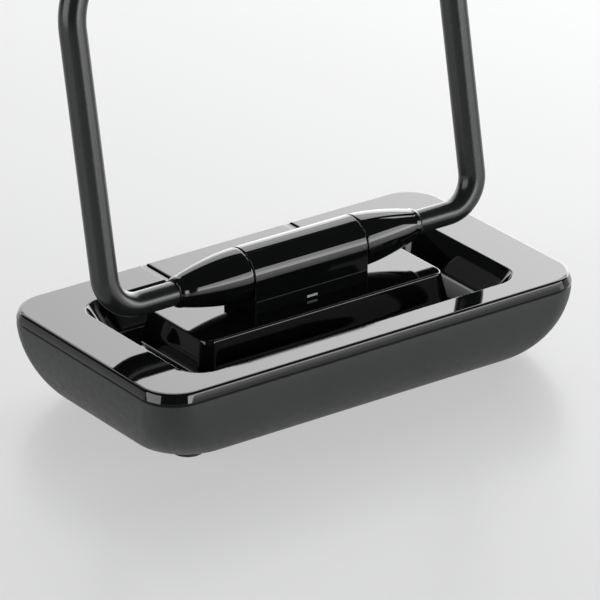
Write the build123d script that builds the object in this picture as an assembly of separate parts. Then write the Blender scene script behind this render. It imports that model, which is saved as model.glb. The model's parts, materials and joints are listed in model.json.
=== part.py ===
"""Indoor loop antenna: a weighted boat-shaped base, a hinge barrel on a plinth, and a tilting loop.

Frame: +X along the long side, the front is -Y, +Z up, origin at the middle of the foot plane. Millimetres.
"""
from build123d import *
import math
import os

# ---- driving dimensions --------------------------------------------------------------------------
base_length = 200.0         # flat top, along X
base_depth = 109.0          # flat top, along Y
top_corner = 14.5
top_z = 36.5                # flat top above the table
seam_z = 32.3               # joint between the gloss cover and the matt case
seam_gap = 0.2
seam_flare = 1.0            # the cover leans out this much from the flat top to the seam
case_floor_z = 2.5          # underside of the case, above the table
case_tuck = 15.0            # how far the hull curves in from the seam to the underside
wall = 2.2

tray_half_x = 79.05
tray_front_y = -43.15
tray_rear_y = 37.0          # the rear rim is wider than the front one
tray_half = (tray_half_x, (tray_rear_y - tray_front_y) / 2)
tray_centre_y = (tray_rear_y + tray_front_y) / 2
tray_corner = 11.0
tray_floor_z = 23.0
tray_run = 6.0              # sideways run of the tray wall from rim to floor
plinth_half = (57.3, 20.9)
plinth_corner = 5.0
plinth_top_z = 36.4
plinth_run = 3.0

panel_half_width = 33.4     # rear cover panel, between the two channels
panel_gap = 0.15
channel_width = 3.2
channel_depth = 0.8
channel_slope = 0.4          # run of the outer wall

hinge_z = 49.8
barrel_radius = 10.9
barrel_half = 26.9
barrel_wall = 1.8
barrel_end_wall = 2.4
collar_start = 27.3
collar_end = 58.0
collar_tip_radius = 6.3
collar_nose = 2.6           # length of the rounded small end
collar_end_radius = 5.0

tube_radius = 4.8           # along the hinge axis
leg_radius = 5.4            # beyond the bottom bends, where the tube has swelled
tube_wall = 1.0
tube_end_x = 43.0           # the tube goes this far into the collar
loop_half_width = 88.0
loop_height = 140.0         # hinge axis to the centreline of the top run
bottom_bend = 14.0
top_bend = 30.0
rest_tilt = 11.0            # degrees the loop leans back as it stands

spigot_radius = 4.5
spigot_end_x = 14.0
spigot_bore = 2.5
running_fit = 0.05
bush_radius = 5.5
bush_flange_radius = 7.0
bush_flange = 1.2

board_z = 12.0
board_thickness = 1.6
board_half_x = 45.0
board_front_y = -10.0
board_rear_y = 43.0
socket_x = 18.0
socket_z = 19.2
recess_face_y = 48.0

foot_x = 74.0
foot_y = 32.0
foot_radius = 6.5
foot_pocket_z = 3.5

os.makedirs("parts", exist_ok=True)


def save(name, *solids):
    """Write one sub-part, a solid or a group of like solids, to its own STEP file."""
    shape = solids[0] if len(solids) == 1 else Compound(children=list(solids))
    export_step(shape, f"parts/{name}.step")


def rounded_plate(half_x, half_y, corner, z):
    """A rounded rectangle lying at height z."""
    return Pos(0, 0, z) * RectangleRounded(2 * half_x, 2 * half_y, corner)


def box_between(x0, x1, y0, y1, z0, z1):
    """A box from its lowest and highest corners."""
    return Pos((x0 + x1) / 2, (y0 + y1) / 2, (z0 + z1) / 2) * Box(x1 - x0, y1 - y0, z1 - z0)


def upright(x, y, z0, z1, radius):
    """A cylinder standing at (x, y) from z0 to z1."""
    return Pos(x, y, (z0 + z1) / 2) * Cylinder(radius, z1 - z0)


def along_x(x0, x1, radius):
    """A cylinder on the hinge axis from x0 to x1."""
    return Pos((x0 + x1) / 2, 0, hinge_z) * Rot(0, 90, 0) * Cylinder(radius, abs(x1 - x0))


def along_y(y0, y1, radius, x, z):
    """A cylinder lying along Y from y0 to y1."""
    return Pos(x, (y0 + y1) / 2, z) * Rot(90, 0, 0) * Cylinder(radius, abs(y1 - y0))


def corners(x, y):
    """The four points (+-x, +-y)."""
    return [(sx * x, sy * y) for sx in (1, -1) for sy in (1, -1)]


def screw_up(x, y, head_z, length, radius, head_radius, head_height):
    """A cross-recessed screw entered from below, the face of its head at head_z."""
    head = upright(x, y, head_z, head_z + head_height, head_radius)
    shank = upright(x, y, head_z + head_height, head_z + head_height + length, radius)
    slot = Box(head_radius * 1.1, radius * 0.45, head_height)
    cross = Pos(x, y, head_z) * (slot + Rot(0, 0, 90) * slot)
    return head + shank - cross


def screw_down(x, y, seat_z, length, radius, head_radius, head_height):
    """The same screw entered from above, its head resting on seat_z."""
    screw = screw_up(0, 0, 0, length, radius, head_radius, head_height)
    return Pos(x, y, seat_z + head_height) * Rot(180, 0, 0) * screw


# ---- lower case ----------------------------------------------------------------------------------
hull_levels = (0.0, 0.22, 0.42, 0.6, 0.75, 0.87, 0.95, 1.0)
case_rim_z = seam_z - seam_gap
case_inside_z = case_floor_z + wall
screw_post_top = 14.0
screw_seat_z = 7.0
recess_half_x = 34.0
recess_z = (8.5, 28.0)
board_posts = [(40, -5), (-40, -5), (40, 38), (-40, 38)]
ballast_posts = [(55, -25), (-55, -25)]
ballast_thickness = 5.0
ballast_top_z = case_inside_z + ballast_thickness
socket_hole = 4.9
jack_hole = 4.1


def hull(inset, floor_z, rim_z):
    """Boat-shaped body: at depth h (0 rim, 1 floor) its side is in by tuck * (1 - sqrt(1 - h^1.8))."""
    sections = []
    for level in hull_levels:
        tuck = case_tuck * (1 - math.sqrt(1 - level ** 1.8)) + inset
        half_x = base_length / 2 + seam_flare - tuck
        half_y = base_depth / 2 + seam_flare - tuck
        corner = top_corner + 0.5 + 7.0 * level ** 2 - 0.5 * inset
        sections.append(rounded_plate(half_x, half_y, corner, rim_z - level * (rim_z - floor_z)))
    return loft(sections)


hull_outside = hull(0, case_floor_z, case_rim_z)
lower_case = hull_outside - hull(wall, case_inside_z, case_rim_z + 0.6)
recess_back = box_between(-recess_half_x - wall, recess_half_x + wall, recess_face_y - wall, base_depth,
                          recess_z[0] - wall, recess_z[1] + wall)
lower_case += recess_back & hull_outside
lower_case -= box_between(-recess_half_x, recess_half_x, recess_face_y, base_depth, *recess_z)
for x, y in corners(foot_x, foot_y):
    lower_case += upright(x, y, case_floor_z + 1, screw_post_top, 4.6)
    lower_case -= upright(x, y, 0, foot_pocket_z, foot_radius)
    lower_case -= upright(x, y, 0, screw_seat_z, 3.1)
    lower_case -= upright(x, y, 0, screw_post_top + 1, 1.7)
for x, y in board_posts:
    lower_case += upright(x, y, case_inside_z - 1, board_z, 3.0)
    lower_case -= upright(x, y, case_inside_z + 0.5, board_z + 1, 1.3)
for x, y in ballast_posts:
    lower_case += upright(x, y, case_inside_z - 1, ballast_top_z, 2.6)
    lower_case -= upright(x, y, case_inside_z + 0.5, ballast_top_z + 1, 1.3)
lower_case -= along_y(40, 60, socket_hole, -socket_x, socket_z)
lower_case -= along_y(40, 60, jack_hole, socket_x, socket_z)
save("lower_case", lower_case)

save("rubber_feet", *[upright(x, y, 0, foot_pocket_z, foot_radius - 0.05) for x, y in corners(foot_x, foot_y)])

ballast = box_between(-66, 66, -36.5, -13, case_inside_z, ballast_top_z)
ballast = fillet(ballast.edges().filter_by(Axis.Z), 6)
for x, y in ballast_posts:
    ballast -= upright(x, y, case_inside_z - 1, ballast_top_z + 1, 2.8)
save("ballast_plate", ballast)
save("ballast_screws", *[screw_down(x, y, ballast_top_z, 4.0, 1.25, 4.2, 1.4) for x, y in ballast_posts])

# ---- top cover with its tray and plinth, and the rear panel ------------------------------------------
cover_boss_radius = 3.4
boss_hole_radius = 1.6
boss_hole_top = 19.5        # below the tray floor's underside
case_screw_length = 11.0
cover_plate_z = top_z - wall


def tapered(half, corner, z_top, z_bottom, run, grow=0.0):
    """A rounded block whose sides go in by run (out, if run is negative) from z_top to z_bottom."""
    top = rounded_plate(half[0] + grow, half[1] + grow, corner + grow, z_top)
    low = rounded_plate(half[0] + grow - run, half[1] + grow - run, corner + grow, z_bottom)
    return loft([low, top], ruled=True)


flared_half = (base_length / 2 + seam_flare, base_depth / 2 + seam_flare)
cover_block = tapered((base_length / 2, base_depth / 2), top_corner, top_z, seam_z, -seam_flare)
cover_block = fillet(cover_block.faces().sort_by(Axis.Z)[-1].edges(), 1.2)
cover_hollow = tapered(flared_half, top_corner, cover_plate_z, seam_z - 1, -0.3, grow=-wall)
tray_place = Pos(0, tray_centre_y, 0)
tray_cut = tray_place * tapered(tray_half, tray_corner, top_z, tray_floor_z, tray_run)
tray_body = tray_place * tapered(tray_half, tray_corner, cover_plate_z, tray_floor_z - wall, tray_run, grow=wall)
plinth = tapered(plinth_half, plinth_corner, plinth_top_z, tray_floor_z - wall, -plinth_run)
plinth = fillet(plinth.faces().sort_by(Axis.Z)[-1].edges(), 1.0)
plinth_hollow = tapered(plinth_half, plinth_corner, plinth_top_z - wall, tray_floor_z - 2 * wall,
                        -plinth_run, grow=-wall)

cover = cover_block - cover_hollow + tray_body
for x, y in corners(foot_x, foot_y):
    cover += upright(x, y, screw_post_top, cover_plate_z, cover_boss_radius)
cover -= tray_cut
cover += plinth
cover -= plinth_hollow
for x, y in corners(foot_x, foot_y):
    cover -= upright(x, y, 0, boss_hole_top, boss_hole_radius)

# slot in the plinth for the leads and the light pipe, and the four screws that hold the hinge housing
lead_slot = (13.0, 8.0)
housing_screws = corners(20.0, 7.0)
cover -= box_between(-lead_slot[0], lead_slot[0], -lead_slot[1], lead_slot[1], 30, 40)
for x, y in housing_screws:
    cover -= upright(x, y, 30, 40, 1.35)

# two shallow channels run from the rear edge to the tray; the strip between them is a separate panel
for side in (1, -1):
    channel = Polyline((0, 0.5), (0, -channel_depth), (channel_width - channel_slope, -channel_depth),
                       (channel_width, 0), (channel_width, 0.5), close=True)
    channel = Plane.XZ.offset(-base_depth) * Pos(panel_half_width, top_z) * make_face(channel)
    channel = extrude(channel, base_depth - tray_rear_y, dir=(0, -1, 0))
    cover -= channel if side > 0 else mirror(channel, about=Plane.YZ)
panel_front_y = tray_rear_y + panel_gap
panel_zone = box_between(-panel_half_width, panel_half_width, panel_front_y, base_depth, 0, base_depth)
panel_hole = box_between(-panel_half_width - panel_gap, panel_half_width + panel_gap,
                         panel_front_y - panel_gap, base_depth, 0, base_depth)
rear_panel = cover & panel_zone
clip_place = 25.0
clip_half_width = 3.0
clip_y = 45.65
clip_thickness = 1.4
clip_hook = 0.8
clip_foot_z = recess_z[1] + wall + 0.4
for side in (1, -1):
    clip_x = (side * clip_place - clip_half_width, side * clip_place + clip_half_width)
    rear_panel += box_between(*clip_x, clip_y, clip_y + clip_thickness, clip_foot_z, cover_plate_z + 0.5)
    rear_panel += box_between(*clip_x, clip_y, clip_y + clip_thickness + clip_hook, clip_foot_z, clip_foot_z + 1.0)
save("rear_panel", rear_panel)
cover -= panel_hole
save("top_cover", cover)
save("case_screws", *[screw_up(x, y, screw_seat_z - 2.2, case_screw_length, 1.5, 2.9, 2.2)
                      for x, y in corners(foot_x, foot_y)])

# ---- amplifier board and the sockets ------------------------------------------------------------------
board_top_z = board_z + board_thickness
board = box_between(-board_half_x, board_half_x, board_front_y, board_rear_y, board_z, board_top_z)
board = fillet(board.edges().filter_by(Axis.Z), 2)
for x, y in board_posts:
    board -= upright(x, y, board_z - 1, board_top_z + 1, 1.6)
save("circuit_board", board)
save("board_screws", *[screw_down(x, y, board_top_z, 5.0, 1.25, 2.6, 1.4) for x, y in board_posts])

can = box_between(-34, -4, 18, 38, board_top_z, board_top_z + 6.5)
can = fillet(can.edges().filter_by(Axis.Z), 1.0)
can -= box_between(-33.6, -4.4, 18.4, 37.6, board_top_z - 1, board_top_z + 6.1)
for step in range(6):
    can -= upright(-30 + 4.4 * step, 28, board_top_z, board_top_z + 8, 1.0)
save("shield_can", can)

chip = box_between(-24, -19, 25, 30, board_top_z, board_top_z + 1.1)
save("amplifier_chip", chip)

balun = box_between(-7, 7, 3.6, 9.6, board_top_z, board_top_z + 6)
balun = fillet(balun.edges().filter_by(Axis.X), 1.5)
for side in (1, -1):
    balun -= along_y(0, 12, 1.5, side * 3.4, board_top_z + 3)
save("balun_core", balun)

capacitor_height = 6.4
capacitor = upright(14, 24, board_top_z, board_top_z + capacitor_height, 3.15)
capacitor = fillet(capacitor.edges().group_by(Axis.Z)[-1], 0.5)
save("filter_capacitor", capacitor)

regulator = box_between(24, 30.5, 20, 23.5, board_top_z, board_top_z + 1.7)
regulator += box_between(25.7, 28.8, 23.5, 25.3, board_top_z, board_top_z + 0.5)
for lead in range(3):
    regulator += box_between(24.6 + 2.3 * lead, 25.3 + 2.3 * lead, 18.3, 20, board_top_z, board_top_z + 0.5)
save("voltage_regulator", regulator)

# screw-on coaxial output: a threaded barrel on a flange that stands on the board
socket_barrel = 4.75
barrel_front_y = recess_face_y - wall - 0.1
antenna_socket = along_y(barrel_front_y - 3.2, 55.0, socket_barrel, -socket_x, socket_z)
antenna_socket += box_between(-socket_x - 5.5, -socket_x + 5.5, barrel_front_y - 5.5, barrel_front_y,
                              board_top_z, socket_z + 5.5)
antenna_socket -= along_y(barrel_front_y - 4.5, 60, 3.3, -socket_x, socket_z)
for turn in range(5):
    ring_y = 49.6 + 1.06 * turn
    ring = along_y(ring_y, ring_y + 0.4, socket_barrel + 1, -socket_x, socket_z)
    antenna_socket -= ring - along_y(ring_y - 1, ring_y + 1, socket_barrel - 0.35, -socket_x, socket_z)
save("antenna_socket", antenna_socket)
insulator = along_y(barrel_front_y - 4.5, 52.5, 3.3, -socket_x, socket_z)
insulator -= along_y(barrel_front_y - 6, 60, 0.9, -socket_x, socket_z)
save("socket_insulator", insulator)
contact = along_y(barrel_front_y - 4.5, 52.0, 0.9, -socket_x, socket_z)
contact -= along_y(46, 60, 0.45, -socket_x, socket_z)
save("socket_contact", contact)

jack_rear_y = 35.0          # behind the sloping rear wall of the tray
power_jack = box_between(socket_x - 4.5, socket_x + 4.5, jack_rear_y, barrel_front_y, board_top_z, socket_z + 5.0)
power_jack = fillet(power_jack.edges().filter_by(Axis.Y), 0.6)
power_jack += along_y(barrel_front_y - 1, recess_face_y + 0.6, 3.95, socket_x, socket_z)
power_jack -= along_y(jack_rear_y + 3, 60, 3.2, socket_x, socket_z)
save("power_jack", power_jack)
jack_pin = along_y(jack_rear_y + 3, 47.0, 1.0, socket_x, socket_z)
jack_pin = fillet(jack_pin.edges().group_by(Axis.Y)[-1], 0.6)
save("power_jack_pin", jack_pin)

# ---- indicator: a lamp on the board and a light pipe up to the front of the hinge housing ---------------
window_half = 2.5
window_z = (37.2, 38.2)
pipe_y = (-7.9, -6.3)
lamp = box_between(-1.6, 1.6, -8.5, -5.7, board_top_z, board_top_z + 1.9)
save("indicator_lamp", lamp)
light_pipe = box_between(-window_half, window_half, *pipe_y, board_top_z + 2.2, window_z[1])
light_pipe += box_between(-window_half, window_half, -barrel_radius + 0.05, pipe_y[0], *window_z)
save("light_pipe", light_pipe)

# ---- hinge housing: an arch over the axis with straight sides down to the plinth ------------------------


def arch(radius, half_length, foot_z):
    """Half-round top about the hinge axis on straight sides down to foot_z."""
    block = box_between(-half_length, half_length, -radius, radius, foot_z, hinge_z)
    return along_x(-half_length, half_length, radius) + block


housing = arch(barrel_radius, barrel_half, plinth_top_z)
end_edges = housing.edges().group_by(Axis.X)[0] + housing.edges().group_by(Axis.X)[-1]
housing = fillet([edge for edge in end_edges if edge.center().Z > plinth_top_z + 1], 0.4)
cavity_radius = barrel_radius - barrel_wall
cavity_half = barrel_half - barrel_end_wall
housing -= arch(cavity_radius, cavity_half, plinth_top_z - 1)
housing -= along_x(-barrel_half - 1, barrel_half + 1, bush_radius)
housing_boss_top = 40.8
for x, y in housing_screws:
    housing += upright(x, y, plinth_top_z, housing_boss_top, 2.4)
    housing -= upright(x, y, plinth_top_z - 1, housing_boss_top - 0.6, 1.05)
housing -= box_between(-window_half - 0.05, window_half + 0.05, -barrel_radius - 1, -cavity_radius + 0.5,
                       window_z[0] - 0.05, window_z[1] + 0.05)

# a rib under the roof stops the tab on the left spigot at both ends of the travel
stop_x = (-21.2, -20.0)
stop_rib_radius = 6.4
stop_tab_half_angle = 12.0
stop_rib_half_angle = 75.0
rib_disc = along_x(*stop_x, cavity_radius + 0.3) - along_x(stop_x[0] - 1, stop_x[1] + 1, stop_rib_radius)
rib_reach = 3 * barrel_radius
rib_wedge = Polyline((0, 0), (-rib_reach * math.sin(math.radians(stop_rib_half_angle)),
                              rib_reach * math.cos(math.radians(stop_rib_half_angle))),
                     (rib_reach * math.sin(math.radians(stop_rib_half_angle)),
                      rib_reach * math.cos(math.radians(stop_rib_half_angle))), close=True)
rib_sector = Pos(0, 0, hinge_z) * extrude(Plane.YZ.offset(stop_x[0] - 1) * make_face(rib_wedge), 4)
housing += rib_disc & rib_sector
save("hinge_housing", housing)
save("housing_screws", *[screw_up(x, y, plinth_top_z - wall - 1.4, 5.4, 1.0, 2.0, 1.4) for x, y in housing_screws])

for side, name in ((-1, "left_bush"), (1, "right_bush")):
    bush = along_x(side * cavity_half, side * barrel_half, bush_radius)
    bush += along_x(side * (cavity_half - bush_flange), side * cavity_half, bush_flange_radius)
    bush -= along_x(side * (cavity_half - 5), side * (barrel_half + 5), spigot_radius + running_fit)
    save(name, bush)

# ---- the leads from the loop to the board, each one held along its whole route ----------------------------
lead_radius = 0.9
lead_x = 5.0
lead_start_x = tube_end_x - 1.0
lead_foot_y = 12.0
for side, name in ((-1, "left_lead"), (1, "right_lead")):
    route = [(side * lead_start_x, 0, hinge_z), (side * lead_x, 0, hinge_z), (side * lead_x, 0, 26.0),
             (side * lead_x, lead_foot_y, 20.0), (side * lead_x, lead_foot_y, board_top_z)]
    path = FilletPolyline(*route, radius=[9.0, 7.0, 2.6])
    section = Plane(origin=path @ 0, z_dir=path % 0) * Circle(lead_radius)
    lead = sweep(section, path=path)
    print(name, "length", round(path.length, 2), "volume ratio",
          round(lead.volume / (path.length * math.pi * lead_radius ** 2), 4))
    save(name, lead)

# ---- the loop: collars, tube and what turns with it. Drawn upright, then leaned back to its rest ----------
rest_pose = Pos(0, 0, hinge_z) * Rot(-rest_tilt, 0, 0) * Pos(0, 0, -hinge_z)


def save_leaned(name, *solids):
    """Write pieces of the loop, leaned back about the hinge axis."""
    save(name, *[rest_pose * solid for solid in solids])


def on_side(side, shape):
    """The shape as drawn on the right, or its mirror image on the left."""
    return shape if side > 0 else mirror(shape, about=Plane.YZ)


retainer_x = (21.3, 22.2)
retainer_groove = 3.8
collar_lip = 0.3
swell_power = 1.7           # the collar's radius falls as the distance from the barrel to this power
swell_length = collar_end - collar_nose - collar_start - collar_lip
swell_drop = barrel_radius - 0.1 - collar_tip_radius
nose_drop = collar_tip_radius - collar_end_radius
spline_points = [(collar_start + collar_lip + u * swell_length,
                  barrel_radius - 0.1 - swell_drop * u ** swell_power) for u in (0, 0.2, 0.4, 0.6, 0.8, 1)]
with BuildPart() as collar_part:
    with BuildSketch(Plane.XY):
        with BuildLine():
            swell = Spline(*spline_points)
            nose = ThreePointArc(swell @ 1, (collar_end - 0.3 * collar_nose, collar_tip_radius - 0.4 * nose_drop),
                                 (collar_end, collar_end_radius))
            Line(nose @ 1, (collar_end, 0))
            Line((collar_end, 0), (spigot_end_x, 0))
            Line((spigot_end_x, 0), (spigot_end_x, spigot_radius))
            Line((spigot_end_x, spigot_radius), (collar_start, spigot_radius))
            Line((collar_start, spigot_radius), (collar_start, barrel_radius - 0.1 - collar_lip))
            Line((collar_start, barrel_radius - 0.1 - collar_lip), swell @ 0)
        make_face()
    revolve(axis=Axis.X)
collar = Pos(0, 0, hinge_z) * collar_part.part
collar -= along_x(0, collar_end + 1, spigot_bore)
collar -= along_x(tube_end_x - 2.0, collar_end + 1, tube_radius)
collar -= along_x(*retainer_x, spigot_radius + 1) - along_x(0, 40, retainer_groove)
grub_x = 50.0
grub_hole = upright(grub_x, 0, hinge_z - 12, hinge_z - tube_radius + 0.5, 1.25)
collar -= grub_hole
save_leaned("left_collar", on_side(-1, collar))
save_leaned("right_collar", collar)
grub = upright(grub_x, 0, hinge_z - 7.4, hinge_z - tube_radius, 1.2)
grub -= upright(grub_x, 0, hinge_z - 8, hinge_z - 6.4, 0.6)
save_leaned("collar_grub_screws", on_side(-1, grub), grub)

half_route = [(tube_end_x, hinge_z), (loop_half_width, hinge_z), (loop_half_width, hinge_z + loop_height)]
loop_points = [(x, 0, z) for x, z in half_route] + [(-x, 0, z) for x, z in reversed(half_route)]
loop_path = FilletPolyline(*loop_points, radius=[bottom_bend, top_bend, top_bend, bottom_bend])
bend_start = loop_half_width - bottom_bend
bend_middle_z = hinge_z + bottom_bend
hoop_points = [(loop_half_width, 0, bend_middle_z), (loop_half_width, 0, hinge_z + loop_height),
               (-loop_half_width, 0, hinge_z + loop_height), (-loop_half_width, 0, bend_middle_z)]
hoop_path = FilletPolyline(*hoop_points, radius=top_bend)
loop_tube = sweep(Plane(origin=hoop_path @ 0, z_dir=hoop_path % 0) * Circle(leg_radius), path=hoop_path)
for side in (1, -1):
    turn = math.sqrt(0.5) * bottom_bend
    bend_path = Edge.make_three_point_arc((side * bend_start, 0, hinge_z),
                                          (side * (bend_start + turn), 0, bend_middle_z - turn),
                                          (side * loop_half_width, 0, bend_middle_z))
    bend_ends = [Plane(origin=bend_path @ 0, z_dir=bend_path % 0) * Circle(tube_radius),
                 Plane(origin=bend_path @ 1, z_dir=bend_path % 1) * Circle(leg_radius)]
    loop_tube += sweep(bend_ends, path=bend_path, multisection=True)
    loop_tube += along_x(side * tube_end_x, side * bend_start, tube_radius)
bore_section = Plane(origin=loop_path @ 0, z_dir=loop_path % 0) * Circle(tube_radius - tube_wall)
loop_tube -= sweep(bore_section, path=loop_path)
print("loop tube length", round(loop_path.length, 1))
save_leaned("loop_tube", loop_tube)

plug = along_x(tube_end_x - 0.6, tube_end_x + 5, tube_radius - tube_wall)
plug += along_x(tube_end_x - 0.6, tube_end_x, tube_radius - 0.1)
save_leaned("left_contact_plug", on_side(-1, plug))
save_leaned("right_contact_plug", plug)

retainer = along_x(*retainer_x, 6.2) - along_x(0, 40, retainer_groove)
retainer -= box_between(0, 40, -2.6, 2.6, hinge_z, hinge_z + 20)
save_leaned("retaining_clips", on_side(-1, retainer), retainer)
washer = along_x(retainer_x[1], cavity_half - bush_flange - 0.3, 6.6) - along_x(0, 40, spigot_radius + 0.05)
save_leaned("friction_washers", on_side(-1, washer), washer)

tab_radius = 7.8
stop_ring = along_x(*stop_x, 6.0)
tab_wedge = Polyline((0, 0), (-rib_reach * math.sin(math.radians(stop_tab_half_angle)),
                              -rib_reach * math.cos(math.radians(stop_tab_half_angle))),
                     (rib_reach * math.sin(math.radians(stop_tab_half_angle)),
                      -rib_reach * math.cos(math.radians(stop_tab_half_angle))), close=True)
tab_sector = Pos(0, 0, hinge_z) * extrude(Plane.YZ.offset(stop_x[0] - 1) * make_face(tab_wedge), 4)
stop_ring += along_x(*stop_x, tab_radius) & tab_sector
stop_ring -= along_x(-40, 0, spigot_radius)
save_leaned("stop_ring", stop_ring)
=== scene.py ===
import json
import math
import bpy
import numpy as np
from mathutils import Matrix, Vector


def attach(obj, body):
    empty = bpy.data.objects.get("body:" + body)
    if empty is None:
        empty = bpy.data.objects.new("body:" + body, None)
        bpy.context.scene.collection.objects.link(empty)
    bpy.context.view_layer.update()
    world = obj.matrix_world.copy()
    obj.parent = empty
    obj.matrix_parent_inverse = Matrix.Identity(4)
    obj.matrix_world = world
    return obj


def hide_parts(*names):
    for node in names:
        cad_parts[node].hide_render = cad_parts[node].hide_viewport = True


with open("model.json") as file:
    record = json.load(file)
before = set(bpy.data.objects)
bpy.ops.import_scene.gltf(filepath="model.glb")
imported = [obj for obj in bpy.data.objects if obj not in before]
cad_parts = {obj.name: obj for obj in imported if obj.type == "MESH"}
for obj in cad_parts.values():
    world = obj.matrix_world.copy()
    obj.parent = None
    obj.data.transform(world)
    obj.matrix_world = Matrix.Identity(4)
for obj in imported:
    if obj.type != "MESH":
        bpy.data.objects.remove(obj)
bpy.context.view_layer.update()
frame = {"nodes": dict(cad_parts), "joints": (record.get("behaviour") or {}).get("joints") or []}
nodes = frame["nodes"]
mm = 0.001
hinge_z = frame["joints"][0]["pos_m"][2] / mm


# ---- camera: a long lens off the left front corner of the base, a little above it --------------------
camera_azimuth = math.radians(-35.9)
camera_height = math.radians(24.32)
camera_distance = 2.0666
camera_aim = Vector((0.0019, 0.0, 0.03113))
towards_camera = Vector((math.sin(camera_azimuth) * math.cos(camera_height),
                         -math.cos(camera_azimuth) * math.cos(camera_height),
                         math.sin(camera_height)))
camera_data = bpy.data.cameras.new("camera")
camera_data.lens = 317.3
camera_data.sensor_width = 36.0
camera_data.clip_end = 30.0
camera = bpy.data.objects.new("camera", camera_data)
camera.location = camera_aim + camera_distance * towards_camera
camera.rotation_euler = (-towards_camera).to_track_quat("-Z", "Y").to_euler()
bpy.context.collection.objects.link(camera)
bpy.context.scene.camera = camera


# ---- studio: a pale table, two bright cards behind it and a strip light at its front right -------
# The gloss top mirrors the card, and the hinge barrel shows the strip light as a grey band.
studio = bpy.context.scene
studio.view_settings.view_transform = "Standard"
air = bpy.data.worlds.new("studio_air")
studio.world = air
air.use_nodes = True
air.node_tree.nodes["Background"].inputs["Color"].default_value = (0.96, 0.98, 1.0, 1)
air.node_tree.nodes["Background"].inputs["Strength"].default_value = 0.05


def grid_mesh(name, points, wrap=True, keep=None, first_cap=False, last_cap=False):
    """A skin over rows of points (rows, columns, 3): a quad between each four neighbours that keep allows,
    anticlockwise seen from outside when the rows climb and the columns turn anticlockwise, and flat caps."""
    rows, columns = points.shape[:2]
    index = np.arange(rows * columns).reshape(rows, columns)
    after = np.roll(index, -1, axis=1) if wrap else index[:, 1:]
    here = index if wrap else index[:, :-1]
    quads = np.stack([here[:-1], after[:-1], after[1:], here[1:]], axis=-1)
    faces = quads[keep].tolist() if keep is not None else quads.reshape(-1, 4).tolist()
    faces += [index[0, ::-1].tolist()] if first_cap else []
    faces += [index[-1].tolist()] if last_cap else []
    mesh = bpy.data.meshes.new(name)
    mesh.from_pydata(points.reshape(-1, 3).tolist(), [], faces)
    piece = bpy.data.objects.new(name, mesh)
    bpy.context.collection.objects.link(piece)
    return piece


def settle(piece, wall=0.0, sharp=35.0):
    """Thickens an open skin inwards by wall and shades it smooth but for sharp edges."""
    if wall:
        thicken = piece.modifiers.new("wall", "SOLIDIFY")
        thicken.thickness = wall
        thicken.offset = -1.0
        thicken.use_even_offset = True
        made = bpy.data.meshes.new_from_object(piece.evaluated_get(bpy.context.evaluated_depsgraph_get()))
        piece.modifiers.clear()
        piece.data = made
    piece.data.shade_smooth()
    piece.data.set_sharp_from_angle(angle=math.radians(sharp))
    return piece


def new_material(name):
    """A material, its node tree and its principled surface."""
    material = bpy.data.materials.new(name)
    material.use_nodes = True
    return material, material.node_tree, material.node_tree.nodes["Principled BSDF"]


table_reach = 6.0
table_line = np.linspace(-table_reach, table_reach, 3)
table_x, table_y = np.meshgrid(table_line, table_line)
table = grid_mesh("studio_table", np.stack([table_x, table_y, 0 * table_x], axis=-1), wrap=False)
table_paint, tree, surface = new_material("pale_table")
surface.inputs["Base Color"].default_value = (0.18, 0.182, 0.184, 1)
surface.inputs["Roughness"].default_value = 0.30
surface.inputs["Specular IOR Level"].default_value = 0.08
surface.inputs["Emission Color"].default_value = (1.0, 1.0, 1.0, 1)
surface.inputs["Emission Strength"].default_value = 0.49
table.data.materials.append(table_paint)

cyc_radius, cyc_height = 5.9, 4.0
cyc_angle = np.linspace(0, 2 * np.pi, 65)[:-1]
cyc_x, cyc_y = cyc_radius * np.cos(cyc_angle), cyc_radius * np.sin(cyc_angle)
cyc_rows = [np.stack([cyc_x, cyc_y, z + 0 * cyc_angle], axis=-1) for z in (cyc_height, 0.0)]
cyclorama = grid_mesh("studio_wall", np.stack(cyc_rows))
cyclorama.visible_glossy = False
cyclorama.visible_diffuse = False
cyclorama.visible_transmission = False
cyclorama.visible_shadow = False
cyc_paint, tree, surface = new_material("pale_studio_wall")
surface.inputs["Base Color"].default_value = (0, 0, 0, 1)
surface.inputs["Specular IOR Level"].default_value = 0.0
surface.inputs["Emission Color"].default_value = (1.0, 1.0, 1.0, 1)
surface.inputs["Emission Strength"].default_value = 0.81
cyclorama.data.materials.append(cyc_paint)


def glow_card(name, corner, along, up, strength, from_end=1.0, to_end=1.0, fade_span=(0.0, 1.0)):
    """A glowing flat card from a corner along two edges, its glow fading over that span of its length."""
    corner, along, up = [np.array(v, float) for v in (corner, along, up)]
    u, v = np.meshgrid(np.linspace(0, 1, 9), np.linspace(0, 1, 3))
    card = grid_mesh(name, corner + u[..., None] * along + v[..., None] * up, wrap=False)
    card.visible_camera = False
    card.visible_shadow = False
    paint, tree, surface = new_material(name)
    surface.inputs["Base Color"].default_value = (0, 0, 0, 1)
    surface.inputs["Specular IOR Level"].default_value = 0.0
    place = tree.nodes.new("ShaderNodeTexCoord")
    project = tree.nodes.new("ShaderNodeVectorMath")
    project.operation = "DOT_PRODUCT"
    project.inputs[1].default_value = (along / np.dot(along, along)).tolist()
    tree.links.new(place.outputs["Object"], project.inputs[0])
    start = float(np.dot(corner, along) / np.dot(along, along))
    fade = tree.nodes.new("ShaderNodeMapRange")
    fade.inputs["From Min"].default_value = start + fade_span[0]
    fade.inputs["From Max"].default_value = start + fade_span[1]
    fade.inputs["To Min"].default_value = strength * from_end
    fade.inputs["To Max"].default_value = strength * to_end
    tree.links.new(project.outputs["Value"], fade.inputs["Value"])
    surface.inputs["Emission Color"].default_value = (1.0, 1.0, 1.0, 1)
    tree.links.new(fade.outputs["Result"], surface.inputs["Emission Strength"])
    card.data.materials.append(paint)
    return card


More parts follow.
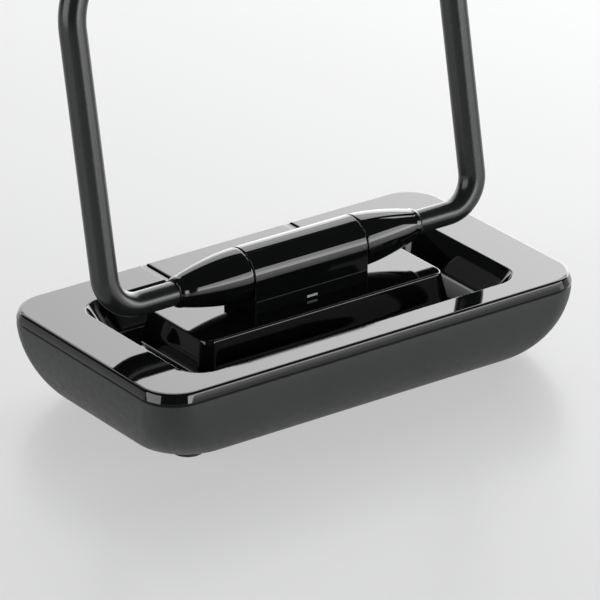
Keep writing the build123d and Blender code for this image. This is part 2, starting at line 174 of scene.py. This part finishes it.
def card_edges(azimuth, distance, width, low, high, lean=0.0):
    """Corner and edges of a card facing the base from that azimuth (0 front, anticlockwise seen from above)."""
    away = np.array([math.sin(azimuth), -math.cos(azimuth), 0.0])
    side = np.array([math.cos(azimuth), math.sin(azimuth), 0.0])
    corner = away * distance - side * width / 2 + np.array([0, 0, low])
    return corner, side * width, np.array([0, 0, high - low]) + away * -lean


rear_azimuth, front_azimuth, left_azimuth = math.radians(144.1), math.radians(33.4), math.radians(-95.0)
glow_card("rear_card_low", *card_edges(rear_azimuth, 0.95, 2.6, 0.0, 0.56), 3.84, from_end=1.38, to_end=0.68,
          fade_span=(0.365, 0.635))
glow_card("rear_card_high", *card_edges(rear_azimuth, 0.95, 2.6, 0.60, 1.28), 3.0, from_end=1.7, to_end=0.4)
glow_card("front_strip_foot", *card_edges(front_azimuth, 2.2, 2.6, 0.0, 0.13), 2.2)
glow_card("front_strip_low", *card_edges(front_azimuth, 2.2, 2.6, 0.13, 0.5), 6.6)
glow_card("front_strip_high", *card_edges(front_azimuth, 2.2, 2.6, 0.5, 0.95), 4.6)
glow_card("left_panel", *card_edges(left_azimuth, 1.4, 1.2, 0.1, 1.0), 3.4)


# ---- lower case: a boat-shaped tub in dark grey plastic, with a recess at the back for the plugs ---------
# It is injection moulded, with a fine spark-eroded texture, and four screws under the feet close it.
case_half = (101.0, 55.5)
seam_z, case_floor_z = 32.1, 2.5
case_tuck, tuck_power = 15.0, 1.8
case_corner, corner_growth = 15.0, 7.0
seam_roll_depth, seam_roll_tuck, seam_roll_top = 0.016, 0.06, 0.7    # rolled edge of the case at the seam
side_hold = 45.0             # columns of the long sides that stand this near the middle keep their x
recess_half_x, recess_low, recess_high, recess_back = 34.0, 8.5, 28.0, 48.0


def outline_columns():
    """Columns round a rounded rectangle, anticlockwise from its right side: rows are the share of the half
    length beyond the corner's centre, a fixed x offset, the share of the half depth, and the corner's angle."""
    short = np.linspace(-1, 1, 31)[:-1]
    turn = np.linspace(0, 90, 21)[:-1]
    far = np.linspace(1, 0, 13)[:-1]
    near = np.array([0, 2.5, 6, 10, 14, 18, 22, 26, 30, 32, 33, 33.15, 33.25, 33.33, 33.38, 33.4, 33.55,
                     33.95, 34.05, 34.5, 35.2, 36.1, 36.2, 36.3, 36.4, 36.5, 36.6, 36.75, 36.9, 37.5, 39,
                     41.5]) / side_hold
    held = np.concatenate([near[:0:-1], -near])
    away = far[:0:-1]
    parts = [(1 + 0 * short, 0 * short, short, 0 * short),
             (1 + 0 * turn, 0 * turn, 1 + 0 * turn, turn),
             (far, side_hold * (1 - far), 1 + 0 * far, 90 + 0 * far),
             (0 * held, side_hold * held, 1 + 0 * held, 90 + 0 * held),
             (-away, -side_hold * (1 - away), 1 + 0 * away, 90 + 0 * away),
             (-1 + 0 * turn, 0 * turn, 1 + 0 * turn, 90 + turn)]
    half = np.concatenate([np.stack(part) for part in parts], axis=1)
    return np.concatenate([half, half * [[-1], [-1], [-1], [1]] + [[0], [0], [0], [180]]], axis=1)


columns = outline_columns()


def rounded_rings(half_x, half_y, corner, z, centre_y=(0,)):
    """One rounded rectangle at each height: x = share * (half - corner) + offset + corner * cos(angle), and
    the same for y with the sine and its own centre, as (rows, columns, 3) points in metres."""
    half_x, half_y, corner, z, centre_y = [np.asarray(v, float)[:, None]
                                           for v in (half_x, half_y, corner, z, centre_y)]
    angle = np.radians(columns[3])[None]
    x = columns[0] * (half_x - corner) + columns[1] + corner * np.cos(angle)
    y = columns[2] * (half_y - corner) + corner * np.sin(angle) + centre_y
    return np.stack([x, y, z + 0 * x], axis=-1) * mm


def ramp(value, start, end):
    """0 up to start, 1 from end on, and a straight ramp between them."""
    return np.clip((value - start) / (end - start), 0, 1)


case_drop = seam_z - case_floor_z
heights = np.array([recess_high + 0.3, recess_high, recess_high - 0.1, recess_low + 0.1, recess_low,
                    recess_low - 0.3])
spaced = np.sin(np.linspace(0, np.pi / 2, 46))
depth = np.unique(np.concatenate([spaced, (seam_z - heights) / case_drop]))[::-1]
tuck = case_tuck * (1 - np.sqrt(1 - depth ** tuck_power))
tuck[-1] = seam_roll_top
depth[-2] = seam_roll_depth
tuck[-2] = seam_roll_tuck
hull = rounded_rings(case_half[0] - tuck, case_half[1] - tuck, case_corner + corner_growth * depth ** 2,
                     seam_z - depth * case_drop)
hull_x, hull_y, hull_z = [hull[..., axis] / mm for axis in range(3)]
in_recess = (1 - ramp(np.abs(hull_x), recess_half_x - 0.05, recess_half_x + 0.05)) \
    * ramp(hull_z, recess_low, recess_low + 0.1) * (1 - ramp(hull_z, recess_high - 0.1, recess_high)) \
    * (hull_y > recess_back)
hull[..., 1] += (recess_back - hull_y) * in_recess * mm
case = settle(grid_mesh("case_hull", hull, first_cap=True), wall=0.0018)
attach(case, "base")
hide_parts("lower_case")


def noise(tree, scale, detail=2.0, roughness=0.5, stretch=(1, 1, 1)):
    """Noise on the piece's own coordinates, with about that many blotches to the metre along each axis."""
    place = tree.nodes.new("ShaderNodeTexCoord")
    mapping = tree.nodes.new("ShaderNodeMapping")
    mapping.inputs["Scale"].default_value = stretch
    texture = tree.nodes.new("ShaderNodeTexNoise")
    texture.inputs["Scale"].default_value = scale
    texture.inputs["Detail"].default_value = detail
    texture.inputs["Roughness"].default_value = roughness
    tree.links.new(place.outputs["Object"], mapping.inputs["Vector"])
    tree.links.new(mapping.outputs["Vector"], texture.inputs["Vector"])
    return texture.outputs["Fac"]


def spread(tree, factor, low, high, start=0.3, end=0.7):
    """Maps a factor's middle range to low..high."""
    node = tree.nodes.new("ShaderNodeMapRange")
    node.inputs["From Min"].default_value = start
    node.inputs["From Max"].default_value = end
    node.inputs["To Min"].default_value = low
    node.inputs["To Max"].default_value = high
    tree.links.new(factor, node.inputs["Value"])
    return node.outputs["Result"]


def tint(tree, factor, first, second):
    """The first colour where the factor is 0, the second where it is 1."""
    node = tree.nodes.new("ShaderNodeMix")
    node.data_type = "RGBA"
    node.inputs[6].default_value = (*first, 1)
    node.inputs[7].default_value = (*second, 1)
    tree.links.new(factor, node.inputs["Factor"])
    return node.outputs[2]


def relief(tree, height, distance, strength=1.0):
    """A bump that many metres high from a 0..1 height."""
    node = tree.nodes.new("ShaderNodeBump")
    node.inputs["Distance"].default_value = distance
    node.inputs["Strength"].default_value = strength
    tree.links.new(height, node.inputs["Height"])
    return node.outputs["Normal"]


case_plastic, tree, surface = new_material("spark_textured_plastic")
tree.links.new(tint(tree, noise(tree, 60, 3), (0.016, 0.019, 0.017), (0.024, 0.027, 0.025)),
               surface.inputs["Base Color"])
tree.links.new(spread(tree, noise(tree, 300, 3), 0.40, 0.50), surface.inputs["Roughness"])
tree.links.new(relief(tree, noise(tree, 5200, 3, 0.7), 0.00004, 0.5), surface.inputs["Normal"])
case.data.materials.append(case_plastic)


# ---- feet: four soft rubber discs pressed into pockets of the case over its screws --------------------
# Each has a rolled edge and a slight dish, so it grips the table with its rim.
foot_place = (74.0, 32.0)


def turned(name, profile, centre, axis="z", sides=48):
    """A profile of (place along the axis, radius) rows turned once about the axis through the centre; its
    first and last radius are 0, so it closes on itself."""
    profile = np.array(profile, float)
    spin = np.linspace(0, 2 * np.pi, sides + 1)[:-1]
    out, along = profile[:, 1][:, None], profile[:, 0][:, None] + 0 * spin
    first, second = out * np.cos(spin), out * np.sin(spin)
    order = {"z": (first, second, along), "x": (along, first, second), "y": (second, along, first)}[axis]
    return grid_mesh(name, (np.stack(order, axis=-1) + np.array(centre)) * mm, first_cap=True, last_cap=True)


foot_profile = [(0.35, 0.05), (0.35, 3.6), (0.1, 4.4), (0.0, 4.9), (0.0, 5.6), (0.12, 6.1), (0.4, 6.38),
                (0.8, 6.45), (3.2, 6.45), (3.4, 6.3), (3.45, 6.0), (3.45, 0.05)]
foot_rubber, tree, surface = new_material("moulded_rubber")
tree.links.new(tint(tree, noise(tree, 500, 3), (0.012, 0.012, 0.012), (0.022, 0.022, 0.022)),
               surface.inputs["Base Color"])
surface.inputs["Roughness"].default_value = 0.75
tree.links.new(relief(tree, noise(tree, 3000, 2), 0.00003, 0.4), surface.inputs["Normal"])
for number, (side_x, side_y) in enumerate(((1, 1), (-1, 1), (-1, -1), (1, -1))):
    foot = settle(turned(f"rubber_foot_{number + 1}", foot_profile,
                         (side_x * foot_place[0], side_y * foot_place[1], 0.0)))
    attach(foot, "base")
    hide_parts("rubber_feet")
    foot.data.materials.append(foot_rubber)


# ---- gloss cover: the rim, the tray and the plinth, moulded in one piece of polished black plastic ---------
# A rolled edge joins the band to the flat rim, and the tray's walls curve down to a floor round the plinth.
rim_z, tray_floor_z, plinth_z = 36.5, 23.0, 36.4
channel_inner = 33.4                 # the channels in the rear rim start here, at the panel's side
channel_from_y = 36.0                # and run from the rear edge into the tray
lip_place = [36.1, 36.2, 36.3, 36.4, 36.5, 36.6, 36.75, 36.9]
lip_share = [1.0, 0.97, 0.82, 0.55, 0.27, 0.10, 0.02, 0.0]
channel_depth = 0.8


def arc_path(start, corner, end, radius, steps=8):
    """An arc of that radius tangent to the lines start-corner and corner-end, as rows of points."""
    start, corner, end = [np.array(v, float) for v in (start, corner, end)]
    back = (start - corner) / np.linalg.norm(start - corner)
    on = (end - corner) / np.linalg.norm(end - corner)
    half = math.acos(float(np.dot(back, on))) / 2
    reach = radius / math.tan(half)
    middle = corner + (back + on) / np.linalg.norm(back + on) * radius / math.sin(half)
    turn = np.linspace(0, 1, steps)[:, None]
    first, last = (corner + back * reach - middle) / radius, (corner + on * reach - middle) / radius
    opening = math.pi - 2 * half
    swing = np.sin((1 - turn) * opening) * first + np.sin(turn * opening) * last
    return middle + radius * swing / math.sin(opening)


edge_round, lip_round, ridge_round = 1.2, 0.45, 0.9
# rows of (how far in from the flared edge, z), then from the tray's edge, then out from the plinth's edge
edge_rows = np.concatenate([[(0.7, 32.3), (0.4, 32.38), (0.12, 32.6), (0.0, 32.9)],
                            arc_path((0.0, 32.3), (1.0, rim_z), (5.0, rim_z), edge_round, 9)])
band_rows = 4                        # rows below the rolled edge
rim_steps = np.array([0.0, 0.02, 0.15, 0.35, 0.55, 0.75, 0.9, 0.972, 0.985])[:, None]
rim_first = np.array([case_half[0] - edge_rows[-1, 0], case_half[1] - edge_rows[-1, 0], 14.6, 0.0])
tray_edge = np.array([79.05, 40.075, 11.0, -3.075])     # half length, half depth, corner, centre
rim_rows = rim_first + (tray_edge + [lip_round, lip_round, 0.2, 0.0] - rim_first) * rim_steps[1:]
wall_points = np.array([(0.0, rim_z), (1.3, 33.5), (2.65, 30.5), (4.0, 27.4), (5.1, 24.9), (5.6, 23.9),
                        (6.2, 23.25), (7.4, tray_floor_z)])
lip_rows = arc_path((-3.0, rim_z), (0.0, rim_z), wall_points[1], lip_round, 7)
wall_rows = np.concatenate([lip_rows, wall_points[1:]])
plinth_top = np.array([57.3, 20.9, 5.0, 0.0])
plinth_rows = np.concatenate([[(3.3, tray_floor_z), (2.85, 23.08), (2.55, 23.4), (2.3, 24.4), (1.58, 28.2),
                               (0.73, 32.6), (0.35, 34.6)],
                              arc_path((0.384, 34.4), (0.0, plinth_z), (-5.0, plinth_z), ridge_round, 9)])
halves = np.concatenate([
    np.stack([case_half[0] - edge_rows[:, 0], case_half[1] - edge_rows[:, 0],
              case_corner - 0.4 * edge_rows[:, 0], 0 * edge_rows[:, 0]], axis=-1),
    rim_rows,
    tray_edge - wall_rows[:, :1] * [[1, 1, 0, 0]],
    plinth_top + plinth_rows[:, :1] * [[1, 1, 0.2, 0]],
    plinth_top[None] - [[1.2, 1.2, 0.6, 0]]])
levels = np.concatenate([edge_rows[:, 1], rim_z + 0 * rim_rows[:, 0], wall_rows[:, 1], plinth_rows[:, 1],
                         [plinth_z]])
cover_skin = rounded_rings(halves[:, 0], halves[:, 1], halves[:, 2], levels, halves[:, 3])
skin_x, skin_y, skin_z = [cover_skin[..., axis] / mm for axis in range(3)]
in_channel = (np.abs(skin_x) > channel_inner + 0.1) * np.interp(np.abs(skin_x), lip_place, lip_share) \
    * (skin_y > channel_from_y)
cover_skin[..., 2] = np.minimum(skin_z, rim_z - channel_depth * in_channel) * mm
panel_rows = len(edge_rows) + len(rim_rows)
behind = (columns[2] == 1) & (columns[3] == 90) & (np.abs(columns[0]) < 1e-9)
panel_columns = np.flatnonzero(behind & (np.abs(columns[1]) < channel_inner + 0.01))
keep = np.ones((len(halves) - 1, columns.shape[1]), bool)
keep[:panel_rows - 1, panel_columns[0] - 1:panel_columns[-1] + 1] = False
cover = settle(grid_mesh("gloss_cover", cover_skin, keep=keep, last_cap=True), wall=0.0009, sharp=40)
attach(cover, "base")
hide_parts("top_cover")

gloss_plastic, tree, surface = new_material("polished_black_plastic")
tree.links.new(tint(tree, noise(tree, 90, 2), (0.0025, 0.0030, 0.0028), (0.0040, 0.0046, 0.0043)),
               surface.inputs["Base Color"])
tree.links.new(spread(tree, noise(tree, 45, 4, 0.6), 0.025, 0.055), surface.inputs["Roughness"])
tree.links.new(relief(tree, noise(tree, 70, 2), 0.00001, 0.35), surface.inputs["Normal"])
cover.data.materials.append(gloss_plastic)


# ---- rear panel: the middle of the rear rim, a separate gloss strip that clips in between two channels -------
# Its sides drop straight into the channels, with a fine gap to the cover all round.
panel_skin = cover_skin[:panel_rows, panel_columns].copy()
side_drop = np.interp(np.abs(panel_skin[..., 0]) / mm, [33.0, 33.15, 33.25, 33.33, 33.38, 33.4],
                      [0.0, 0.029, 0.088, 0.175, 0.275, 0.4])
panel_skin[band_rows:, :, 2] -= side_drop[band_rows:] * mm
panel_skin[-1, :, 1] += 0.0001
on_top = ramp(panel_skin[:, :1, 2] / mm, 34.0, 36.0)
side_foot = np.stack([0 * on_top, -1.1 * (1 - on_top), -1.1 * on_top], axis=-1) * mm
panel_skin = np.concatenate([panel_skin[:, :1] + side_foot, panel_skin, panel_skin[:, -1:] + side_foot], axis=1)
panel = settle(grid_mesh("rear_rim_panel", panel_skin, wrap=False), wall=0.0009, sharp=40)
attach(panel, "base")
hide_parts("rear_panel")
panel.data.materials.append(gloss_plastic)


# ---- hinge housing: a gloss arch on the plinth, half round about the hinge axis, a hole at each end -----------
# A small window low on its front shows the indicator, and bushes in its end walls carry the loop.
barrel_radius, barrel_half, cavity_radius, cavity_half, bush_hole = 10.9, 26.9, 9.4, 24.5, 5.5
window_half, window_z = 2.5, (37.2, 38.2)
arch_turn = np.linspace(0, np.pi, 97)
foot_heights = np.array([plinth_z, 36.9, window_z[0] - 0.06, window_z[0], window_z[1], window_z[1] + 0.06,
                         39.0, 41.0, 43.5, 46.0, 48.0])


def arch_ring(x, radius, foot_z=plinth_z):
    """One section of the arch at x: up the front (-Y) side, half round over the axis and down the rear side,
    then back along the foot, the same columns for every radius."""
    rise = (foot_heights - plinth_z) / (hinge_z - plinth_z) * (hinge_z - foot_z) + foot_z
    foot = np.linspace(1, -1, 22)[1:-1]
    y = np.concatenate([-radius + 0 * rise, -radius * np.cos(arch_turn), radius + 0 * rise, radius * foot])
    z = np.concatenate([rise, hinge_z + radius * np.sin(arch_turn), rise[::-1], foot_z + 0 * foot])
    return np.stack([x + 0 * y, y, z], axis=-1)


def hole_ring(x, radius, like):
    """A circle about the hinge axis at x whose points face the same way as the ring it joins."""
    angle = np.arctan2(like[:, 2] - hinge_z, like[:, 1])
    return np.stack([x + 0 * angle, radius * np.cos(angle), hinge_z + radius * np.sin(angle)], axis=-1)


end_round, hole_round = 0.4, 0.15
round_turn = np.linspace(0, np.pi / 2, 6)
barrel_steps = np.concatenate([np.linspace(-barrel_half + 0.5, -3.5, 12),
                               [-window_half - 0.06, -window_half, 0.0, window_half, window_half + 0.06],
                               np.linspace(3.5, barrel_half - 0.5, 12)])
left_turn = [arch_ring(-barrel_half + end_round * (1 - math.cos(a)),
                       barrel_radius - end_round * (1 - math.sin(a)))
             for a in round_turn]
right_turn = [arch_ring(-ring[0, 0], barrel_radius - end_round * (1 - math.sin(a)))
              for a, ring in zip(round_turn[::-1], left_turn[::-1])]
shape_ring = arch_ring(0.0, barrel_radius)
left_hole = hole_ring(-cavity_half, bush_hole, shape_ring)
rings = [left_hole, hole_ring(-barrel_half + hole_round, bush_hole, shape_ring),
         hole_ring(-barrel_half, bush_hole + hole_round, shape_ring)]
rings += left_turn + [arch_ring(x, barrel_radius) for x in barrel_steps] + right_turn
rings += [hole_ring(barrel_half, bush_hole + hole_round, shape_ring),
          hole_ring(barrel_half - hole_round, bush_hole, shape_ring),
          hole_ring(cavity_half, bush_hole, shape_ring),
          arch_ring(cavity_half, cavity_radius, plinth_z + 0.4),
          arch_ring(-cavity_half, cavity_radius, plinth_z + 0.4), left_hole]
housing_skin = np.stack(rings)
in_window = (1 - ramp(np.abs(housing_skin[..., 0]), window_half, window_half + 0.06)) \
    * ramp(housing_skin[..., 2], window_z[0] - 0.06, window_z[0]) \
    * (1 - ramp(housing_skin[..., 2], window_z[1], window_z[1] + 0.06)) * (housing_skin[..., 1] < 0)
in_window[:len(left_turn) + 2] = 0
in_window[-len(right_turn) - 5:] = 0
housing_skin[..., 1] += 0.35 * in_window
housing = grid_mesh("hinge_barrel", housing_skin[:, ::-1] * mm)
settle(housing)
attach(housing, "base")
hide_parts("hinge_housing")
housing.data.materials.append(gloss_plastic)


# ---- collars: gloss tapered sleeves at both ends of the barrel that hold the tube and turn with it -----------
# Turned from the same black plastic; a spigot runs into the barrel's bush and a grub screw pins the tube.
collar_start, collar_end, collar_tip, collar_nose, collar_end_radius = 27.3, 58.0, 6.3, 2.6, 5.0
swell_power = 1.7
tube_radius, spigot_radius, spigot_end, spigot_bore, tube_stop = 4.8, 4.5, 14.0, 2.5, 41.0
rest_tilt = math.radians(11.0)


def leaned(points):
    """Turns points about the hinge axis, back by the rest tilt: y' = y cos + z sin, z' = z cos - y sin."""
    y, z = points[..., 1], points[..., 2] - hinge_z
    back_y = y * math.cos(rest_tilt) + z * math.sin(rest_tilt)
    back_z = z * math.cos(rest_tilt) - y * math.sin(rest_tilt)
    return np.stack([points[..., 0], back_y, back_z + hinge_z], axis=-1)


def lathe_about_hinge(name, profile, side, sides=96):
    """A closed profile of (distance from the middle, radius) turned about the hinge axis, on the side given."""
    profile = np.array(list(profile) + [profile[0]], float)
    spin = np.linspace(0, 2 * np.pi, sides + 1)[:-1]
    x = side * profile[:, 0][:, None] + 0 * spin
    radius = profile[:, 1][:, None]
    ring = np.stack([x, radius * np.cos(spin), hinge_z + radius * np.sin(spin)], axis=-1)
    return grid_mesh(name, leaned(ring[:, ::-side]) * mm)


swell = np.linspace(0, 1, 40)
swell_length = collar_end - collar_nose - collar_start - 0.3
collar_shoulder = barrel_radius - 0.1
swell_drop = collar_shoulder - collar_tip
nose_turn = np.linspace(0.2, np.pi / 2, 8)
collar_profile = [(spigot_end, spigot_bore), (spigot_end, spigot_radius - 0.3),
                  (spigot_end + 0.3, spigot_radius), (collar_start, spigot_radius),
                  (collar_start, 10.2), (collar_start, 10.45),
                  (collar_start + 0.09, 10.66), (collar_start + 0.25, 10.77)]
collar_profile += [(collar_start + 0.3 + u * swell_length, collar_shoulder - swell_drop * u ** swell_power)
                   for u in swell]
collar_profile += [(collar_end - collar_nose + collar_nose * math.sin(a),
                    collar_end_radius + (collar_tip - collar_end_radius) * math.cos(a)) for a in nose_turn]
collar_profile += [(collar_end, tube_radius + 0.05), (tube_stop, tube_radius + 0.05), (tube_stop, spigot_bore)]
for side, hand in ((-1, "left"), (1, "right")):
    collar = settle(lathe_about_hinge(f"{hand}_gloss_collar", collar_profile, side))
    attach(collar, "loop")
    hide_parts(f"{hand}_collar")
    collar.data.materials.append(gloss_plastic)


# ---- loop: one length of round tube bent four times, in satin black enamel --------------------------------
# It is a little thicker past the bottom bends, and both of its ends are pushed into the collars.
leg_radius, tube_end_x, loop_half_width, loop_height = 5.4, 43.0, 88.0, 140.0
bottom_bend, top_bend = 14.0, 30.0


def loop_centre_line():
    """Right half of the loop from the hinge's end to the top middle: straight, quarter turn, straight, quarter
    turn, straight; rows of (x, height above the hinge, heading, radius), the left half is its mirror image."""
    quarter = np.linspace(0, np.pi / 2, 25)
    swollen = tube_radius + (leg_radius - tube_radius) * (0.5 - 0.5 * np.cos(2 * quarter))
    low_x = loop_half_width - bottom_bend
    high_z = loop_height - top_bend
    start = np.linspace(tube_end_x, low_x, 8)[:-1]
    leg = np.linspace(bottom_bend, high_z, 14)[1:-1]
    top = np.linspace(loop_half_width - top_bend, 0, 8)[1:]
    rows = [(start, 0 * start, 0 * start, tube_radius + 0 * start),
            (low_x + bottom_bend * np.sin(quarter), bottom_bend * (1 - np.cos(quarter)), quarter, swollen),
            (loop_half_width + 0 * leg, leg, np.pi / 2 + 0 * leg, leg_radius + 0 * leg),
            (loop_half_width - top_bend * (1 - np.cos(quarter)), high_z + top_bend * np.sin(quarter),
             np.pi / 2 + quarter, leg_radius + 0 * quarter),
            (top, loop_height + 0 * top, np.pi + 0 * top, leg_radius + 0 * top)]
    half = np.concatenate([np.stack(row, axis=-1) for row in rows])
    other = half[-2::-1] * [-1, 1, -1, 1] + [0, 0, 2 * np.pi, 0]
    return np.concatenate([half, other])


centre = loop_centre_line()
spin = np.linspace(0, 2 * np.pi, 57)[:-1]
out_x, out_z = np.sin(centre[:, 2])[:, None], -np.cos(centre[:, 2])[:, None]
loop_skin = np.stack([centre[:, 0][:, None] + centre[:, 3][:, None] * np.cos(spin) * out_x,
                      centre[:, 3][:, None] * np.sin(spin),
                      hinge_z + centre[:, 1][:, None] + centre[:, 3][:, None] * np.cos(spin) * out_z], axis=-1)
loop = settle(grid_mesh("loop_hoop", leaned(loop_skin) * mm, first_cap=True, last_cap=True))
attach(loop, "loop")
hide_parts("loop_tube")
tube_enamel, tree, surface = new_material("satin_black_enamel")
tree.links.new(tint(tree, noise(tree, 140, 3), (0.010, 0.011, 0.011), (0.016, 0.018, 0.017)),
               surface.inputs["Base Color"])
tree.links.new(spread(tree, noise(tree, 220, 3), 0.22, 0.26), surface.inputs["Roughness"])
tree.links.new(relief(tree, noise(tree, 2600, 2, 0.5), 0.000005, 0.15), surface.inputs["Normal"])
loop.data.materials.append(tube_enamel)


# ---- inner parts: the board with its components, the ballast, screws, bushes, leads, sockets and lamp --------
# They are the solids of the frame as they stand, each with the finish of its real material.
def finish_node(name, material):
    """Puts one material on all of a frame node's slots."""
    node = nodes[name]
    if not node.data.materials:
        node.data.materials.append(material)
    for slot in node.material_slots:
        slot.material = material


def metal(name, colour, roughness, grain=(1, 1, 1), scale=400):
    """A metal whose roughness and colour vary with a fine grain."""
    material, tree, surface = new_material(name)
    surface.inputs["Metallic"].default_value = 1.0
    grainy = noise(tree, scale, 3, 0.6, grain)
    darker = tuple(0.75 * part for part in colour)
    tree.links.new(tint(tree, grainy, darker, colour), surface.inputs["Base Color"])
    tree.links.new(spread(tree, grainy, roughness * 1.3, roughness * 0.8), surface.inputs["Roughness"])
    tree.links.new(relief(tree, grainy, 0.00001, 0.3), surface.inputs["Normal"])
    return material


def moulding(name, dark, light, roughness, scale=500):
    """A moulded plastic or ceramic with a faint mottle and a fine surface texture."""
    material, tree, surface = new_material(name)
    tree.links.new(tint(tree, noise(tree, 150, 3), dark, light), surface.inputs["Base Color"])
    tree.links.new(spread(tree, noise(tree, scale, 2), roughness * 0.85, roughness * 1.15),
                   surface.inputs["Roughness"])
    tree.links.new(relief(tree, noise(tree, scale * 5, 2), 0.00001, 0.3), surface.inputs["Normal"])
    return material


zinc_steel = metal("zinc_plated_steel", (0.56, 0.57, 0.58), 0.28)
ballast_steel = metal("rolled_steel", (0.30, 0.29, 0.28), 0.45, (1, 8, 1))
spring_steel = metal("blued_spring_steel", (0.22, 0.23, 0.26), 0.30)
nickel = metal("nickel_plate", (0.66, 0.63, 0.58), 0.20)
brass = metal("contact_brass", (0.72, 0.52, 0.24), 0.25)
tin = metal("tin_plate", (0.62, 0.62, 0.62), 0.33, (6, 1, 1))
board_mask = moulding("solder_mask_green", (0.006, 0.060, 0.020), (0.009, 0.085, 0.028), 0.35)
chip_epoxy = moulding("chip_epoxy", (0.010, 0.010, 0.010), (0.018, 0.018, 0.018), 0.55)
ferrite = moulding("fired_ferrite", (0.030, 0.030, 0.032), (0.055, 0.055, 0.058), 0.65)
can_sleeve = moulding("capacitor_sleeve", (0.010, 0.012, 0.030), (0.016, 0.018, 0.042), 0.35)
socket_plastic = moulding("socket_plastic", (0.012, 0.012, 0.012), (0.020, 0.020, 0.020), 0.42)
white_plastic = moulding("white_insulator", (0.62, 0.61, 0.57), (0.74, 0.73, 0.69), 0.40)
bush_plastic = moulding("acetal_bush", (0.50, 0.49, 0.45), (0.60, 0.59, 0.55), 0.38)
lead_sleeve = moulding("lead_sleeve", (0.020, 0.020, 0.020), (0.035, 0.035, 0.035), 0.45)
lamp_resin = moulding("lamp_resin", (0.55, 0.56, 0.58), (0.66, 0.67, 0.69), 0.30)
pipe_resin = moulding("light_pipe_resin", (0.34, 0.36, 0.35), (0.42, 0.44, 0.43), 0.25)
finishes = {
    zinc_steel: ("case_screws", "ballast_screws", "board_screws", "housing_screws", "collar_grub_screws"),
    ballast_steel: ("ballast_plate",),
    spring_steel: ("retaining_clips", "friction_washers"),
    nickel: ("antenna_socket",),
    brass: ("socket_contact", "power_jack_pin", "left_contact_plug", "right_contact_plug"),
    tin: ("shield_can",),
    board_mask: ("circuit_board",),
    chip_epoxy: ("amplifier_chip", "voltage_regulator"),
    ferrite: ("balun_core",),
    can_sleeve: ("filter_capacitor",),
    socket_plastic: ("power_jack",),
    white_plastic: ("socket_insulator",),
    bush_plastic: ("left_bush", "right_bush", "stop_ring"),
    lead_sleeve: ("left_lead", "right_lead"),
    lamp_resin: ("indicator_lamp",),
    pipe_resin: ("light_pipe",),
}
for material, names in finishes.items():
    for name in names:
        finish_node(name, material)
